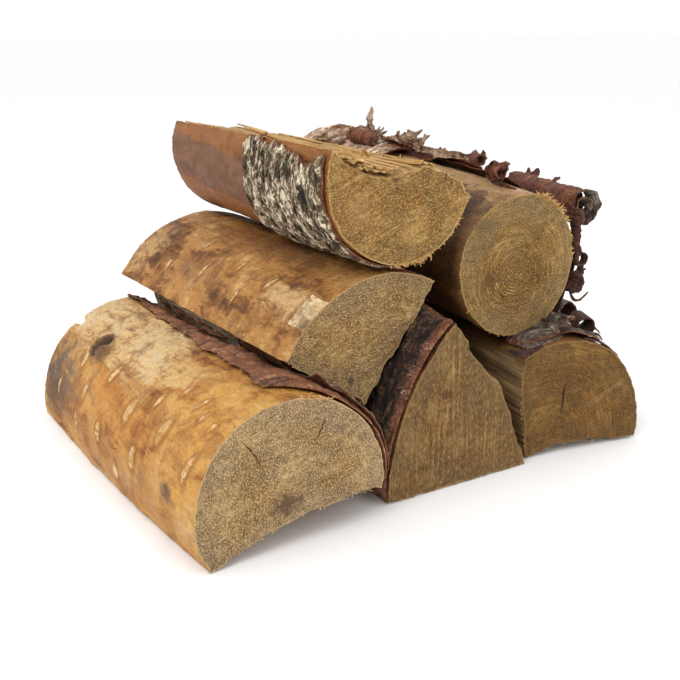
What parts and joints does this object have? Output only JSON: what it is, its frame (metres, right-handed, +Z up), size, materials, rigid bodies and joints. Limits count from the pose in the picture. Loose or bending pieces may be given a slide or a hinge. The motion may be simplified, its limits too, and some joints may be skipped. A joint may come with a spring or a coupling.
{
  "type": "birch firewood bundle",
  "caption": "loose stack of split and round birch firewood logs with sawn ends, bare wood and peeling white and red-brown bark",
  "frame": {"origin": "middle of the stack's footprint, on the ground", "axes": "+Y runs along the logs from their near sawn ends to their far ones, +X across the stack to the right as seen from the near ends, +Z up"},
  "size_m": [0.4, 0.3168, 0.2228],
  "materials": {
    "bare_wood": "dry bare wood under the bark, golden to brown, blotched",
    "split_wood": "dry split and sawn wood, pale brown, rough",
    "red_bark": "dry inner bark, red-brown, matt, torn",
    "grey_bark": "dry peeling bark, grey with fine streaks",
    "white_bark": "dry papery birch bark, white to olive with dark streaks"
  },
  "bodies": {
    "root": {"front_left_log": "bare_wood", "middle_log": "bare_wood", "top_log": "bare_wood", "round_log": "bare_wood", "wedge_log": "split_wood", "right_log": "split_wood", "front_left_bark": "red_bark", "wedge_bark": "red_bark", "round_bark_roll": "red_bark", "right_bark": "grey_bark", "round_bark": "white_bark", "top_bark": "white_bark"}
  },
  "joints": []
}
